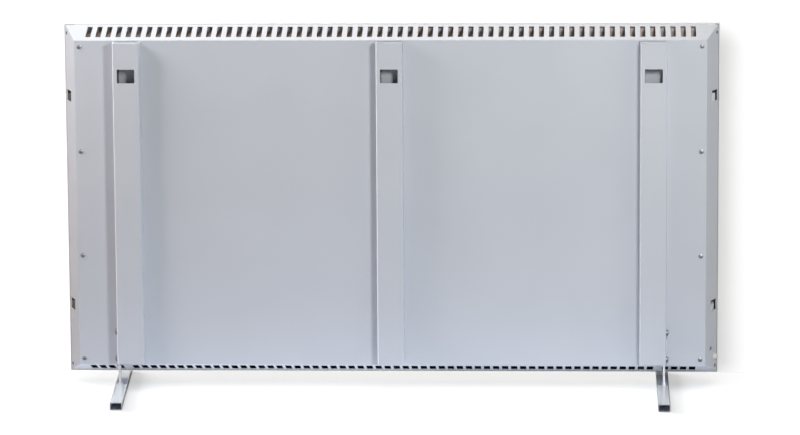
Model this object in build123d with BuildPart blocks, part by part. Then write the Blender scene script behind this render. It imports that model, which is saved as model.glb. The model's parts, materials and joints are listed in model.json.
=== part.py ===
"""Wall panel convector heater on two slide-on feet, modelled from the back.

Millimetres, +Z up. The front faces -Y and the ribbed back faces +Y.
"left" and "right" are as seen by someone in front of the heater: left is -X.
The origin lies on the floor, midway between the feet, under the foot uprights.
"""
import math
import os

from build123d import *

os.makedirs("parts", exist_ok=True)

# ---------------------------------------------------------------- driving sizes
# front plate: a slab of stoneware that the element warms
plate_width = 1200.0
plate_height = 648.0
plate_thickness = 10.0
plate_bevel = 1.2
ground_clearance = 22.5          # floor to the plate's lower edge

# rear casing: a folded sheet tray with four sloping walls
sheet = 1.2
casing_depth = 62.0
plate_overhang = 1.5             # the plate stands proud of the casing all round
side_run = 23.5                  # how far each side wall leans in
end_run = 22.5                   # how far the top and bottom walls lean in
rim_flange = 14.0                # return flange that faces the plate
fold_radius = 1.6

# edge gasket between casing and plate
gasket_thickness = 2.0
gasket_width = 9.0
gasket_inset = 1.5

# air slots
slot_width_top = 9.3
slot_pitch_top = 18.36
slot_length = 42.0
slot_centre_top = 35.0           # along the wall, from the back fold
slot_width_bottom = 11.7
slot_pitch_bottom = 16.65
slot_centre_bottom = 31.5
slot_end_margin = 15.0           # least plain sheet past the last slot
end_slot_past_rib = 23.5         # rib's middle to the first slot outside it

# finger windows in the side walls
window_height = 20.0
window_width = 31.0
window_from_rim = 7.0
window_offset = 194.0            # above and below the middle

# ribs: three channels on the back
rib_face = 48.0
rib_depth = 26.0
rib_splay = 2.0                  # degrees that each wall leans out towards its base
rib_from_fold = 96.5             # casing's side fold to an outer rib's middle
rib_top_gap = 1.5
rib_bottom_gap = 6.0
rib_lip = 10.0                   # return lip that lies on the casing
rib_top_lip = 6.0                # lip folded back from the face over the open top
rib_fold = 1.5
hanger_width = 32.0
hanger_height = 25.0
hanger_corner = 1.0
hanger_drop = 50.0               # casing's top fold to the top of the opening

# side rails inside, bonded to the plate and screwed to the casing
rail_sheet = 1.5
rail_edge = 2.0                  # casing fold to the rail's rear flange
rail_rear_flange = 18.0
rail_front_flange = 25.0
rail_end_gap = 8.0               # rail's end to the casing's back fold
bond_thickness = 1.0
bond_inset = 1.0

# screws that hold the casing
case_screw_inset = 9.2
case_screw_from_end = 11.25      # back fold to the first and last screws
case_screw_rows = 4
case_screw_columns = 2
case_screw_shank = 4.0
hole_gap = 0.25                  # radial clearance of a screw or lead in sheet metal
case_screw_head = 8.0
case_screw_head_height = 2.4
clinch_nut_diameter = 7.5
clinch_nut_height = 3.0
head_crown = 0.45                # shares of a pan head's height and width
recess_floor = 0.45
recess_span = 0.55
recess_width = 0.14

# rivets at the mitred corners
rivet_shank = 4.0
rivet_head = 7.0
rivet_head_height = 1.4
rivet_tail = 2.0
rivet_flare = 0.8
rivet_from_rim = 12.0
rivet_from_end = 14.0

# feet
foot_tube_width = 22.0
foot_tube_height = 14.0
foot_tube_wall = 1.5
foot_tube_corner = 2.5
foot_tube_length = 350.0
left_tube_turn = -1.7            # degrees that a tube is turned in from its upright
right_tube_turn = 1.2
upright_thickness = 4.0
upright_depth = 22.0
upright_outset = 2.0             # upright's middle, outward of the tube's
upright_corner = 4.0
upright_above_screw = 12.0
foot_screw_lower = 14.0          # above the casing's bottom fold
foot_screw_spacing = 50.0
foot_screw_shank = 6.0
foot_screw_head = 11.5
foot_screw_head_height = 4.6
foot_nut_flats = 10.0
foot_nut_height = 5.0
foot_screw_past_nut = 1.5
foot_travel = 8.0
foot_slot_side = 0.3             # running clearance round the screw in its slot
running_gap = 0.3

# heating element on the plate's back
cable_diameter = 3.6
cable_pitch = 56.0
foil_thickness = 0.5
foil_past_turn = 1.0             # foil's side edge to the middle of a turn's crest
foil_margin = 24.0               # foil above and below the outermost runs
foil_from_rim = 8.5              # least gap from the foil to the casing's return flange
foil_to_cutout = 7.5
seat_gap = 0.2

# leads, cut-out and terminals
lead_diameter = 2.8
lead_gap = 12.0                  # between the two leads where they pass the rail
lead_to_rail = 4.0
lead_rise = 18.0                 # rail's front flange to the leads' holes in its web
lead_bend = 9.0
lead_turn = 14.0
lead_crook = 5.0
lead_straight = 20.0             # from the element's end to the bend over the rail
lead_ramp = 18.0                 # length of that bend along the panel
crook_start = 56.0               # heights above the hole where the return lead bends
crook_end = 22.0
crook_shift = 8.0
cable_tail = 14.0                # straight end of the element past its last turn
cutout_width = 7.0
cutout_length = 20.0
cutout_corner = 0.8
cutout_height = 190.0            # above the lowest run
block_length = 34.0
block_depth = 20.0
block_height = 14.0
block_corner = 1.5
block_wells = 3
block_sides = 2
well_diameter = 4.4
terminal_screw_diameter = 3.8
terminal_screw_height = 3.0
driver_slot_length = 3.0
driver_slot_width = 0.6
driver_slot_depth = 0.8
earth_above_block = 14.0
earth_stud_diameter = 4.0
earth_stud_length = 12.0
earth_nut_flats = 7.0
earth_nut_height = 3.2
bush_nose = 9.0
bush_flange = 12.5
bush_bore = 6.5
bush_from_rim = 15.0
bush_from_bottom = 33.0
bush_rim = 1.8
bush_reach = 5.0
bush_inner = 2.4
bush_edge = 0.8
clamp_from_fold = 28.0
clamp_from_bottom = 52.0
clamp_length = 22.0
clamp_width = 10.0
clamp_height = 7.0
clamp_corner = 2.0
clamp_screw_head = 7.0

# ------------------------------------------------------------ derived positions
plate_mid_z = ground_clearance + plate_height / 2
back_y = -rib_depth / 2
rim_y = back_y - casing_depth
plate_back_y = rim_y - gasket_thickness
case_half_w = plate_width / 2 - plate_overhang
case_half_h = plate_height / 2 - plate_overhang
back_half_w = case_half_w - side_run
back_half_h = case_half_h - end_run
top_fold_z = plate_mid_z + back_half_h
bottom_fold_z = plate_mid_z - back_half_h
side_slant = math.hypot(casing_depth, side_run)
end_slant = math.hypot(casing_depth, end_run)
inset_w = sheet * side_slant / casing_depth
inset_h = sheet * end_slant / casing_depth
inner_back_y = back_y - sheet
rib_spacing = back_half_w - rib_from_fold
case_screw_x = back_half_w - case_screw_inset
case_screw_pitch = 2 * (back_half_h - case_screw_from_end) / (case_screw_rows - 1)
case_screw_grid = (2 * case_screw_x, case_screw_pitch, case_screw_columns, case_screw_rows)


def upright_plane(y):
    """Plane square to the plate at depth y, its middle at the panel's middle."""
    return Plane(origin=(0, y, plate_mid_z), x_dir=(1, 0, 0), z_dir=(0, -1, 0))


def wall_plane(side, from_fold):
    """Plane on a sloping wall; local x runs along the wall, local y to the back."""
    run, slant, half = {
        "top": (end_run, end_slant, back_half_h),
        "bottom": (end_run, end_slant, back_half_h),
        "right": (side_run, side_slant, back_half_w),
        "left": (side_run, side_slant, back_half_w),
    }[side]
    share = from_fold / slant
    reach = half + run * share
    depth = back_y - casing_depth * share
    lean = run / slant
    out = casing_depth / slant
    if side == "top":
        return Plane((0, depth, plate_mid_z + reach), x_dir=(1, 0, 0), z_dir=(0, lean, out))
    if side == "bottom":
        return Plane((0, depth, plate_mid_z - reach), x_dir=(-1, 0, 0), z_dir=(0, lean, -out))
    if side == "right":
        return Plane((reach, depth, plate_mid_z), x_dir=(0, 0, -1), z_dir=(out, lean, 0))
    return Plane((-reach, depth, plate_mid_z), x_dir=(0, 0, 1), z_dir=(-out, lean, 0))


def save(piece, label):
    piece.label = label
    export_step(piece, f"parts/{label}.step")


# ------------------------------------------------------------------ front plate
with BuildPart() as front_plate:
    with BuildSketch(upright_plane(plate_back_y)):
        Rectangle(plate_width, plate_height)
    extrude(amount=plate_thickness)
    chamfer(front_plate.faces().sort_by(Axis.Y)[0].edges(), plate_bevel)
save(front_plate.part, "front_plate")

# ------------------------------------------------------------------ edge gasket
with BuildPart() as edge_gasket:
    with BuildSketch(upright_plane(rim_y)):
        Rectangle(2 * (case_half_w - gasket_inset), 2 * (case_half_h - gasket_inset))
        Rectangle(
            2 * (case_half_w - gasket_inset - gasket_width),
            2 * (case_half_h - gasket_inset - gasket_width),
            mode=Mode.SUBTRACT,
        )
    extrude(amount=gasket_thickness)
save(edge_gasket.part, "edge_gasket")

# ------------------------------------------------------------------ rear casing
slots_reach = back_half_w - slot_end_margin
slot_count_top = 2 * int((slots_reach - slot_width_top / 2) / slot_pitch_top) + 1
slot_count_bottom = 2 * int(rib_spacing / slot_pitch_bottom + 1 / 2)
end_slot_first = rib_spacing + end_slot_past_rib
end_slot_room = slots_reach - slot_width_bottom / 2 - end_slot_first
end_slot_count = max(int(end_slot_room / slot_pitch_bottom) + 1, 0)


def void_half(depth_from_back, half, run, inset):
    """Half size of the casing's hollow at a depth in front of the back face."""
    return half + run * depth_from_back / casing_depth - inset


with BuildPart() as rear_casing:
    with BuildSketch(upright_plane(back_y)):
        Rectangle(2 * back_half_w, 2 * back_half_h)
    with BuildSketch(upright_plane(rim_y)):
        Rectangle(2 * case_half_w, 2 * case_half_h)
    loft()
    slope_edges = rear_casing.edges().filter_by(
        lambda e: rim_y + sheet < e.center().Y < back_y - sheet
    )
    back_edges = rear_casing.faces().sort_by(Axis.Y)[-1].edges()
    fillet(slope_edges + back_edges, fold_radius)
    with BuildSketch(upright_plane(inner_back_y)):
        Rectangle(
            2 * void_half(sheet, back_half_w, side_run, inset_w),
            2 * void_half(sheet, back_half_h, end_run, inset_h),
        )
    with BuildSketch(upright_plane(rim_y + sheet)):
        Rectangle(
            2 * void_half(casing_depth - sheet, back_half_w, side_run, inset_w),
            2 * void_half(casing_depth - sheet, back_half_h, end_run, inset_h),
        )
    loft(mode=Mode.SUBTRACT)
    # opening inside the return flange
    with BuildSketch(upright_plane(rim_y + 2 * sheet)):
        Rectangle(2 * (case_half_w - rim_flange), 2 * (case_half_h - rim_flange))
    extrude(amount=3 * sheet, mode=Mode.SUBTRACT)
    # top air slots
    with BuildSketch(wall_plane("top", slot_centre_top)):
        with GridLocations(slot_pitch_top, 0, slot_count_top, 1):
            Rectangle(slot_width_top, slot_length)
    extrude(amount=2 * sheet, both=True, mode=Mode.SUBTRACT)
    # bottom air slots: one long row, and a short row outside each foot
    with BuildSketch(wall_plane("bottom", slot_centre_bottom)):
        with GridLocations(slot_pitch_bottom, 0, slot_count_bottom, 1):
            Rectangle(slot_width_bottom, slot_length)
        end_row_mid = end_slot_first + slot_pitch_bottom * (end_slot_count - 1) / 2
        for side in (-1, 1):
            with Locations((side * end_row_mid, 0)):
                with GridLocations(slot_pitch_bottom, 0, end_slot_count, 1):
                    Rectangle(slot_width_bottom, slot_length)
    extrude(amount=2 * sheet, both=True, mode=Mode.SUBTRACT)
    # side windows
    window_mid = side_slant - window_from_rim - window_width / 2
    for side in ("left", "right"):
        with BuildSketch(wall_plane(side, window_mid)):
            with GridLocations(2 * window_offset, 0, 2, 1):
                Rectangle(window_height, window_width)
        extrude(amount=2 * sheet, both=True, mode=Mode.SUBTRACT)
    # holes for the casing screws
    with BuildSketch(upright_plane(back_y + sheet)):
        with GridLocations(*case_screw_grid):
            Circle(case_screw_shank / 2 + hole_gap)
    extrude(amount=3 * sheet, mode=Mode.SUBTRACT)
    # rivet holes near the ends of both side walls
    rivet_reach = case_half_h - rivet_from_end
    for side in ("left", "right"):
        with BuildSketch(wall_plane(side, side_slant - rivet_from_rim)):
            with GridLocations(2 * rivet_reach, 0, 2, 1):
                Circle(rivet_shank / 2)
        extrude(amount=2 * sheet, both=True, mode=Mode.SUBTRACT)
    # cable bush and cord clamp holes, low in the left wall
    bush_x = bush_from_bottom - plate_height / 2
    with BuildSketch(wall_plane("left", side_slant - bush_from_rim)):
        with Locations((bush_x, 0)):
            Circle(bush_nose / 2)
    extrude(amount=2 * sheet, both=True, mode=Mode.SUBTRACT)
    clamp_x = clamp_from_bottom - plate_height / 2
    with BuildSketch(wall_plane("left", clamp_from_fold)):
        with Locations((clamp_x, 0)):
            Circle(case_screw_shank / 2 + hole_gap)
    extrude(amount=2 * sheet, both=True, mode=Mode.SUBTRACT)
save(rear_casing.part, "rear_casing")

# ------------------------------------------------------------------------- ribs
splay = math.tan(math.radians(rib_splay))
rib_base_half = rib_face / 2 + rib_depth * splay
rib_bottom_z = bottom_fold_z + rib_bottom_gap
rib_top_z = top_fold_z - rib_top_gap
rib_wall_x = sheet / math.cos(math.radians(rib_splay))
foot_slot_half = foot_screw_shank / 2 + foot_slot_side
lower_screw_z = bottom_fold_z + foot_screw_lower
upper_screw_z = lower_screw_z + foot_screw_spacing


def rib_half(y):
    """Half width of a rib's outside at depth y."""
    return rib_base_half - (y - back_y) * splay


def hollow_corners(centre_x, near_y, far_y):
    """Corners of the space between a rib's walls, from one depth to another."""
    return [
        (centre_x - rib_half(near_y) + rib_wall_x, near_y),
        (centre_x + rib_half(near_y) - rib_wall_x, near_y),
        (centre_x + rib_half(far_y) - rib_wall_x, far_y),
        (centre_x - rib_half(far_y) + rib_wall_x, far_y),
    ]


def channel(centre_x, foot_side):
    """One rib; foot_side is -1 or +1 where a foot screws in, and 0 where none does."""
    inner_base_y = back_y + sheet
    rib_length = rib_top_z - rib_bottom_z
    with BuildPart() as rib:
        with BuildSketch(Plane.XY.offset(rib_bottom_z)):
            with BuildLine():
                Polyline(
                    (centre_x - rib_base_half, back_y),
                    (centre_x + rib_base_half, back_y),
                    (centre_x + rib_face / 2, -back_y),
                    (centre_x - rib_face / 2, -back_y),
                    close=True,
                )
            make_face()
        extrude(amount=rib_length)
        face_edges = rib.faces().sort_by(Axis.Y)[-1].edges()
        fillet(face_edges.filter_by(Axis.Z) + face_edges.sort_by(Axis.Z)[-1:], rib_fold)
        with BuildSketch(Plane.XY.offset(rib_bottom_z)):
            with BuildLine():
                Polyline(*hollow_corners(centre_x, inner_base_y, -back_y - sheet), close=True)
            make_face()
        extrude(amount=rib_length - sheet, mode=Mode.SUBTRACT)
        # open top behind the face's lip
        with BuildSketch(Plane.XY.offset(rib_bottom_z)):
            with BuildLine():
                Polyline(*hollow_corners(centre_x, inner_base_y, -back_y - rib_top_lip), close=True)
            make_face()
        extrude(amount=rib_length, mode=Mode.SUBTRACT)
        # gap between the two return lips
        with BuildSketch(Plane.XY.offset(rib_bottom_z)):
            with Locations((centre_x, back_y)):
                Rectangle(2 * (rib_base_half - rib_lip), 3 * sheet)
        extrude(amount=rib_length, mode=Mode.SUBTRACT)
        # hanger opening in the face
        hanger_z = top_fold_z - hanger_drop - hanger_height / 2
        with BuildSketch(Plane.XZ.offset(back_y - sheet)):
            with Locations((centre_x, hanger_z)):
                RectangleRounded(hanger_width, hanger_height, hanger_corner)
        extrude(amount=3 * sheet, mode=Mode.SUBTRACT)
        if foot_side:
            slot_plane = Plane(
                (centre_x + foot_side * rib_half(0), 0, 0),
                x_dir=(0, 1, 0),
                z_dir=(1, 0, 0),
            )
            upper_top = upper_screw_z + foot_slot_half
            lower_top = lower_screw_z + foot_slot_half
            upper_length = 2 * foot_slot_half + foot_travel
            lower_length = lower_top - rib_bottom_z + foot_slot_half
            with BuildSketch(slot_plane):
                with Locations((0, upper_top - upper_length / 2)):
                    SlotOverall(upper_length, 2 * foot_slot_half, rotation=90)
                with Locations((0, lower_top - lower_length / 2)):
                    SlotOverall(lower_length, 2 * foot_slot_half, rotation=90)
            extrude(amount=3 * sheet, both=True, mode=Mode.SUBTRACT)
    return rib.part


for rib_name, rib_side in (("left", -1), ("middle", 0), ("right", 1)):
    save(channel(rib_side * rib_spacing, rib_side), f"{rib_name}_rib")

# ------------------------------------------------- side rails and their bonding
rail_rear_edge = back_half_w - rail_edge
rail_web_x = rail_rear_edge - rail_rear_flange
rail_front_y = plate_back_y + bond_thickness
rail_half_length = back_half_h - rail_end_gap
rail_bottom_z = plate_mid_z - rail_half_length
element_room = case_half_h - rim_flange - foil_from_rim - foil_margin
cable_runs = 2 * int(element_room / cable_pitch + 1 / 2)
lowest_run_z = plate_mid_z - cable_pitch * (cable_runs - 1) / 2
highest_run_z = plate_mid_z + cable_pitch * (cable_runs - 1) / 2
lead_hole_y = rail_front_y + lead_rise


def rail(side):
    """Z-section rail: rear flange to the outside, front flange to the inside."""
    with BuildPart() as strip:
        with BuildSketch(Plane.XY.offset(rail_bottom_z)):
            with BuildLine():
                Polyline(
                    (side * rail_rear_edge, inner_back_y),
                    (side * rail_web_x, inner_back_y),
                    (side * rail_web_x, rail_front_y + rail_sheet),
                    (side * (rail_web_x - rail_front_flange), rail_front_y + rail_sheet),
                    (side * (rail_web_x - rail_front_flange), rail_front_y),
                    (side * (rail_web_x + rail_sheet), rail_front_y),
                    (side * (rail_web_x + rail_sheet), inner_back_y - rail_sheet),
                    (side * rail_rear_edge, inner_back_y - rail_sheet),
                    close=True,
                )
            make_face()
        extrude(amount=2 * rail_half_length)
        with BuildSketch(upright_plane(inner_back_y + rail_sheet)):
            with GridLocations(*case_screw_grid):
                Circle(case_screw_shank / 2 + hole_gap)
        extrude(amount=3 * rail_sheet, mode=Mode.SUBTRACT)
        if side < 0:
            web_plane = Plane((side * rail_web_x, 0, 0), x_dir=(0, 1, 0), z_dir=(1, 0, 0))
            with BuildSketch(web_plane):
                with Locations((lead_hole_y, lowest_run_z), (lead_hole_y, lowest_run_z + lead_gap)):
                    Circle(lead_diameter / 2 + hole_gap)
            extrude(amount=2 * rail_sheet, both=True, mode=Mode.SUBTRACT)
    return strip.part


def bond(side):
    """Adhesive strip between the rail's front flange and the plate."""
    with BuildPart() as strip:
        with BuildSketch(upright_plane(rail_front_y)):
            with Locations((side * (rail_web_x - rail_front_flange / 2), 0)):
                Rectangle(rail_front_flange - 2 * bond_inset, 2 * rail_half_length)
        extrude(amount=bond_thickness)
    return strip.part


for rail_name, rail_side in (("left", -1), ("right", 1)):
    save(rail(rail_side), f"{rail_name}_side_rail")
    save(bond(rail_side), f"{rail_name}_bond_strip")

# ----------------------------------------------------------- casing screws, nuts
screw_reach = sheet + rail_sheet + clinch_nut_height


def dome_arc(rim_radius, rim_height, crown):
    """Half of a spherical dome's outline, from its rim up to its crown on the axis."""
    ball = (rim_radius**2 + crown**2) / (2 * crown)
    halfway = rim_radius / 2
    drop = ball - math.sqrt(ball**2 - halfway**2)
    return ThreePointArc(
        (rim_radius, rim_height),
        (halfway, rim_height + crown - drop),
        (0, rim_height + crown),
    )


def pan_screw(shank, head, head_height, reach):
    """Cross-recess pan-head screw along +Z, with its seat at the origin."""
    crown = head_height * head_crown
    with BuildPart(mode=Mode.PRIVATE) as screw:
        with BuildSketch(Plane.XZ):
            with BuildLine():
                Polyline(
                    (0, head_height),
                    (0, -reach),
                    (shank / 2, -reach),
                    (shank / 2, 0),
                    (head / 2, 0),
                    (head / 2, head_height - crown),
                )
                dome_arc(head / 2, head_height - crown, crown)
            make_face()
        revolve(axis=Axis.Z)
        with BuildSketch(Plane.XY.offset(head_height * recess_floor)):
            Rectangle(head * recess_span, head * recess_width)
            Rectangle(head * recess_width, head * recess_span)
        extrude(amount=head_height, mode=Mode.SUBTRACT)
    return screw.part


case_screw = pan_screw(case_screw_shank, case_screw_head, case_screw_head_height, screw_reach)
back_plane = Plane((0, back_y, plate_mid_z), x_dir=(-1, 0, 0), z_dir=(0, 1, 0))
with BuildPart() as casing_screws:
    with Locations([back_plane.location * spot for spot in GridLocations(*case_screw_grid)]):
        add(case_screw)
save(casing_screws.part, "casing_screws")

with BuildPart() as clinch_nuts:
    with BuildSketch(upright_plane(inner_back_y - rail_sheet)):
        with GridLocations(*case_screw_grid):
            Circle(clinch_nut_diameter / 2)
            Circle(case_screw_shank / 2, mode=Mode.SUBTRACT)
    extrude(amount=clinch_nut_height)
save(clinch_nuts.part, "clinch_nuts")

# ---------------------------------------------------------------- corner rivets
with BuildPart(mode=Mode.PRIVATE) as rivet:
    with BuildSketch(Plane.XZ):
        with BuildLine():
            Polyline(
                (0, rivet_head_height),
                (0, -sheet - rivet_tail),
                (rivet_shank / 2 + rivet_flare, -sheet - rivet_tail),
                (rivet_shank / 2 + rivet_flare, -sheet),
                (rivet_shank / 2, -sheet),
                (rivet_shank / 2, 0),
                (rivet_head / 2, 0),
            )
            dome_arc(rivet_head / 2, 0, rivet_head_height)
        make_face()
    revolve(axis=Axis.Z)
rivet_seats = [
    wall_plane(side, side_slant - rivet_from_rim).location * Location((end * rivet_reach, 0, 0))
    for side in ("left", "right")
    for end in (-1, 1)
]
with BuildPart() as corner_rivets:
    with Locations(rivet_seats):
        add(rivet.part)
save(corner_rivets.part, "corner_rivets")

# --------------------------------------------------------------- heating element
cable_y = plate_back_y + seat_gap + cable_diameter / 2
turn_radius = cable_pitch / 2
cutout_mid_x = -(rail_web_x - rail_front_flange - lead_to_rail)
foil_half_width = -cutout_mid_x - cutout_width / 2 - foil_to_cutout
cable_half_run = foil_half_width - foil_past_turn - turn_radius
with BuildPart() as heating_cable:
    with BuildLine() as cable_path:
        for run in range(cable_runs):
            run_z = lowest_run_z + run * cable_pitch
            heading = 1 if run % 2 == 0 else -1
            start_x = -heading * cable_half_run
            end_x = heading * cable_half_run
            if run == 0:
                start_x -= cable_tail
            if run == cable_runs - 1:
                end_x -= cable_tail
            Line((start_x, cable_y, run_z), (end_x, cable_y, run_z))
            if run < cable_runs - 1:
                ThreePointArc(
                    (end_x, cable_y, run_z),
                    (end_x + heading * turn_radius, cable_y, run_z + turn_radius),
                    (end_x, cable_y, run_z + cable_pitch),
                )
    cable_start = (-cable_half_run - cable_tail, cable_y, lowest_run_z)
    with BuildSketch(Plane(cable_start, x_dir=(0, 1, 0), z_dir=(1, 0, 0))):
        Circle(cable_diameter / 2)
    sweep(path=cable_path.wire())
save(heating_cable.part, "heating_cable")

foil_y = cable_y + cable_diameter / 2 + seat_gap
with BuildPart() as element_foil:
    with BuildSketch(upright_plane(foil_y + foil_thickness)):
        Rectangle(2 * foil_half_width, highest_run_z - lowest_run_z + 2 * foil_margin)
    extrude(amount=foil_thickness)
save(element_foil.part, "element_foil")

# ------------------------------------------------- leads, cut-out, terminal block
cutout_mid_z = lowest_run_z + cutout_height
lead_start_x = -cable_half_run - cable_tail
block_face_x = -rail_web_x - rail_sheet
return_z = lowest_run_z + lead_gap


def lead(points, radius):
    """A lead of round section along straight runs joined by arcs."""
    with BuildPart(mode=Mode.PRIVATE) as wire:
        with BuildLine() as route:
            FilletPolyline(*points, radius=radius)
        first = Vector(points[0])
        along = (Vector(points[1]) - first).normalized()
        with BuildSketch(Plane(origin=first, z_dir=along)):
            Circle(lead_diameter / 2)
        sweep(path=route.wire())
    return wire.part


low_lead = lead(
    [
        (lead_start_x, cable_y, lowest_run_z),
        (lead_start_x - lead_straight, cable_y, lowest_run_z),
        (lead_start_x - lead_straight - lead_ramp, lead_hole_y, lowest_run_z),
        (block_face_x, lead_hole_y, lowest_run_z),
    ],
    lead_bend,
)
drop_lead = lead(
    [
        (lead_start_x, cable_y, highest_run_z),
        (cutout_mid_x, cable_y, highest_run_z),
        (cutout_mid_x, cable_y, cutout_mid_z + cutout_length / 2),
    ],
    lead_turn,
)
return_lead = lead(
    [
        (cutout_mid_x, cable_y, cutout_mid_z - cutout_length / 2),
        (cutout_mid_x, cable_y, return_z + crook_start),
        (cutout_mid_x - crook_shift, lead_hole_y, return_z + crook_end),
        (cutout_mid_x - 2 * crook_shift, lead_hole_y, return_z),
        (block_face_x, lead_hole_y, return_z),
    ],
    lead_crook,
)
with BuildPart() as element_leads:
    add(low_lead)
    add(drop_lead)
    add(return_lead)
save(element_leads.part, "element_leads")

with BuildPart() as thermal_cutout:
    with BuildSketch(Plane.XY.offset(cutout_mid_z - cutout_length / 2)):
        with Locations((cutout_mid_x, cable_y)):
            RectangleRounded(cutout_width, cable_diameter, cutout_corner)
    extrude(amount=cutout_length)
save(thermal_cutout.part, "thermal_cutout")

block_mid_z = lowest_run_z + lead_gap / 2
block_base = Plane((block_face_x, lead_hole_y, block_mid_z), x_dir=(0, 1, 0), z_dir=(-1, 0, 0))
well_floor = block_base.offset(block_height / 2)
well_grid = (block_depth / block_sides, block_length / block_wells, block_sides, block_wells)
with BuildPart() as terminal_block:
    with BuildSketch(block_base):
        RectangleRounded(block_depth, block_length, block_corner)
    extrude(amount=block_height)
    with BuildSketch(well_floor):
        with GridLocations(*well_grid):
            Circle(well_diameter / 2)
    extrude(amount=block_height, mode=Mode.SUBTRACT)
save(terminal_block.part, "terminal_block")

with BuildPart() as terminal_screws:
    with BuildSketch(well_floor):
        with GridLocations(*well_grid):
            Circle(terminal_screw_diameter / 2)
    extrude(amount=terminal_screw_height)
    with BuildSketch(well_floor.offset(terminal_screw_height)):
        with GridLocations(*well_grid):
            Rectangle(driver_slot_length, driver_slot_width)
    extrude(amount=-driver_slot_depth, mode=Mode.SUBTRACT)
save(terminal_screws.part, "terminal_screws")

# earth stud and nut on the rail's web, above the block
earth_z = block_mid_z + block_length / 2 + earth_above_block
earth_plane = Plane((block_face_x, lead_hole_y, earth_z), x_dir=(0, 1, 0), z_dir=(-1, 0, 0))
with BuildPart() as earth_stud:
    with BuildSketch(earth_plane):
        Circle(earth_stud_diameter / 2)
    extrude(amount=earth_stud_length)
save(earth_stud.part, "earth_stud")
with BuildPart() as earth_nut:
    with BuildSketch(earth_plane):
        RegularPolygon(earth_nut_flats / 2, 6, major_radius=False)
        Circle(earth_stud_diameter / 2, mode=Mode.SUBTRACT)
    extrude(amount=earth_nut_height)
save(earth_nut.part, "earth_nut")

# ---------------------------------------------------------- cable bush and clamp
def seat_plane(from_fold, along):
    """Plane on the left wall's outside, at a place along and up the wall."""
    return Plane(wall_plane("left", from_fold).location * Location((along, 0, 0)))


bush_seat = seat_plane(side_slant - bush_from_rim, bush_x)
with BuildPart() as cable_bush:
    with BuildSketch(bush_seat):
        Circle(bush_flange / 2)
    extrude(amount=bush_rim)
    with BuildSketch(bush_seat.offset(-sheet)):
        Circle(bush_nose / 2)
    extrude(amount=sheet + bush_reach)
    with BuildSketch(bush_seat.offset(-sheet)):
        Circle(bush_flange / 2)
    extrude(amount=-bush_inner)
    outer_face = cable_bush.faces().sort_by(Axis(bush_seat.origin, bush_seat.z_dir))[-1]
    fillet(outer_face.edges(), bush_edge)
    with BuildSketch(bush_seat.offset(bush_reach)):
        Circle(bush_bore / 2)
    extrude(amount=-bush_reach - sheet - bush_inner, mode=Mode.SUBTRACT)
save(cable_bush.part, "cable_bush")

clamp_seat = seat_plane(clamp_from_fold, clamp_x)
with BuildPart() as cord_clamp:
    with BuildSketch(clamp_seat.offset(-sheet)):
        RectangleRounded(clamp_length, clamp_width, clamp_corner)
        Circle(case_screw_shank / 2, mode=Mode.SUBTRACT)
    extrude(amount=-clamp_height)
save(cord_clamp.part, "cord_clamp")

clamp_screw = pan_screw(
    case_screw_shank,
    clamp_screw_head,
    case_screw_head_height,
    sheet + clamp_height,
)
with BuildPart() as cord_clamp_screw:
    with Locations(clamp_seat.location):
        add(clamp_screw)
save(cord_clamp_screw.part, "cord_clamp_screw")

# ------------------------------------------------------------------------- feet
# local frame of a foot: x outward, square to the rib's leaning wall, z up
wall_to_bar = sheet + running_gap + upright_thickness / 2
foot_x = rib_spacing + rib_half(0) - wall_to_bar
upright_top_z = upper_screw_z + upright_above_screw
seat_x = wall_to_bar + running_gap
bar_x = upright_thickness / 2


def foot_plane(side, turn=0.0):
    """Ground plane of a foot, its x pointing outward and its origin under the upright.

    turn is an angle in degrees by which the plane is turned in past the rib's wall.
    """
    lean = math.radians(rib_splay + turn)
    return Plane(
        (side * foot_x, 0, 0),
        x_dir=(side * math.cos(lean), math.sin(lean), 0),
        z_dir=(0, 0, 1),
    )


def fixing_plane(side, out_x):
    """Plane square to a foot's screws, at a distance out from the upright's middle."""
    ground = foot_plane(side)
    return Plane(ground.origin + ground.x_dir * out_x, x_dir=ground.y_dir, z_dir=ground.x_dir)


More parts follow.
